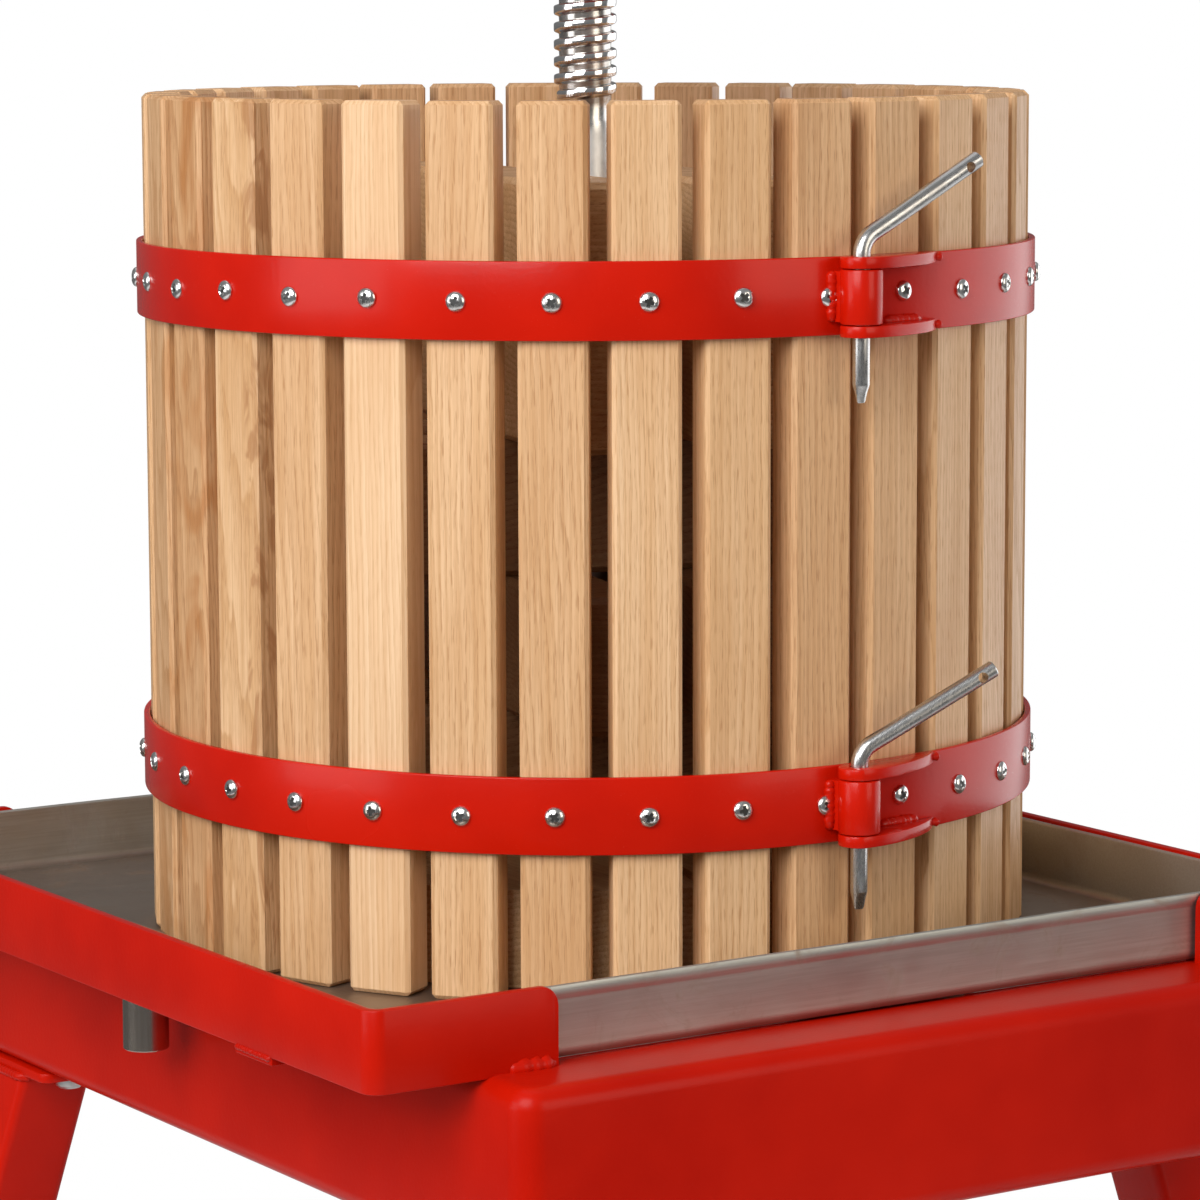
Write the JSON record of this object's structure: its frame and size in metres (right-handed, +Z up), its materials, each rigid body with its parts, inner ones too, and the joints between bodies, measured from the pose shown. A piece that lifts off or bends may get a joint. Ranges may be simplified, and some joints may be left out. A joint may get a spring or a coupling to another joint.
{
  "type": "basket wine press",
  "caption": "Slatted wooden basket in a shallow steel tray on a splayed-leg stand, with a central screw, press boards and a handled nut.",
  "frame": {"origin": "on the floor, on the axis of the press screw", "axes": "+Z up along the screw; +X along the stand's short sides, away from the side the tray drains on; -Y the front, where one pair of basket clasps is; +Y the back"},
  "size_m": [0.68, 0.6472, 1.3121],
  "materials": {
    "oak": "planed, clear varnish",
    "press_wood": "planed, oiled",
    "hoop_paint": "gloss enamel",
    "frame_paint": "gloss enamel",
    "head_paint": "gloss enamel",
    "stainless": "bright rolled sheet",
    "screw_steel": "zinc plated thread",
    "pin_steel": "zinc plated"
  },
  "bodies": {
    "stand": {"frame": "frame_paint", "leg_front_left": "frame_paint", "leg_front_right": "frame_paint", "leg_rear_left": "frame_paint", "leg_rear_right": "frame_paint", "juice_tray": "stainless", "press_screw": "screw_steel", "screw_foot_nut": "pin_steel", "press_disc_left": "press_wood", "press_disc_right": "press_wood", "press_block_a1": "press_wood", "press_block_a2": "press_wood", "press_block_b1": "press_wood", "press_block_b2": "press_wood", "press_block_c1": "press_wood", "press_block_c2": "press_wood", "press_block_d1": "press_wood", "press_block_d2": "press_wood"},
    "basket": {"stave_01": "oak", "stave_02": "oak", "stave_03": "oak", "stave_04": "oak", "stave_05": "oak", "stave_06": "oak", "stave_07": "oak", "stave_08": "oak", "stave_09": "oak", "stave_10": "oak", "stave_11": "oak", "stave_12": "oak", "stave_13": "oak", "stave_14": "oak", "stave_15": "oak", "stave_16": "oak", "stave_17": "oak", "stave_18": "oak", "stave_19": "oak", "stave_20": "oak", "stave_21": "oak", "stave_22": "oak", "stave_23": "oak", "stave_24": "oak", "stave_25": "oak", "stave_26": "oak", "stave_27": "oak", "stave_28": "oak", "stave_29": "oak", "stave_30": "oak", "stave_31": "oak", "stave_32": "oak", "hoop_lower_right": "hoop_paint", "hoop_lower_left": "hoop_paint", "hoop_upper_right": "hoop_paint", "hoop_upper_left": "hoop_paint"},
    "upper_front_pin": {"pin_upper_front": "pin_steel"},
    "lower_front_pin": {"pin_lower_front": "pin_steel"},
    "upper_rear_pin": {"pin_upper_rear": "pin_steel"},
    "lower_rear_pin": {"pin_lower_rear": "pin_steel"},
    "pressing_plate": {"thrust_plate": "head_paint"},
    "turning_nut": {"press_nut": "head_paint"}
  },
  "joints": [
    {"name": "basket_lift", "type": "slide", "parent": "stand", "child": "basket", "axis": [0, 0, 1], "range_m": [0, 0.045]},
    {"name": "upper_front_pin_pull", "type": "slide", "parent": "basket", "child": "upper_front_pin", "axis": [0, 0, 1], "range_m": [0, 0.072]},
    {"name": "lower_front_pin_pull", "type": "slide", "parent": "basket", "child": "lower_front_pin", "axis": [0, 0, 1], "range_m": [0, 0.072]},
    {"name": "upper_rear_pin_pull", "type": "slide", "parent": "basket", "child": "upper_rear_pin", "axis": [0, 0, 1], "range_m": [0, 0.072]},
    {"name": "lower_rear_pin_pull", "type": "slide", "parent": "basket", "child": "lower_rear_pin", "axis": [0, 0, 1], "range_m": [0, 0.072]},
    {"name": "plate_travel", "type": "slide", "parent": "stand", "child": "pressing_plate", "axis": [0, 0, 1], "range_m": [-0.116, 0.041]},
    {"name": "nut_turn", "type": "hinge", "parent": "pressing_plate", "child": "turning_nut", "pos_m": [0, 0, 1.03], "axis": [0, 0, 1], "range_deg": [-4930, 1700]}
  ],
  "couplings": [
    {"joint": "plate_travel", "follows": "nut_turn", "m_per_rad": 0.0013476}
  ]
}
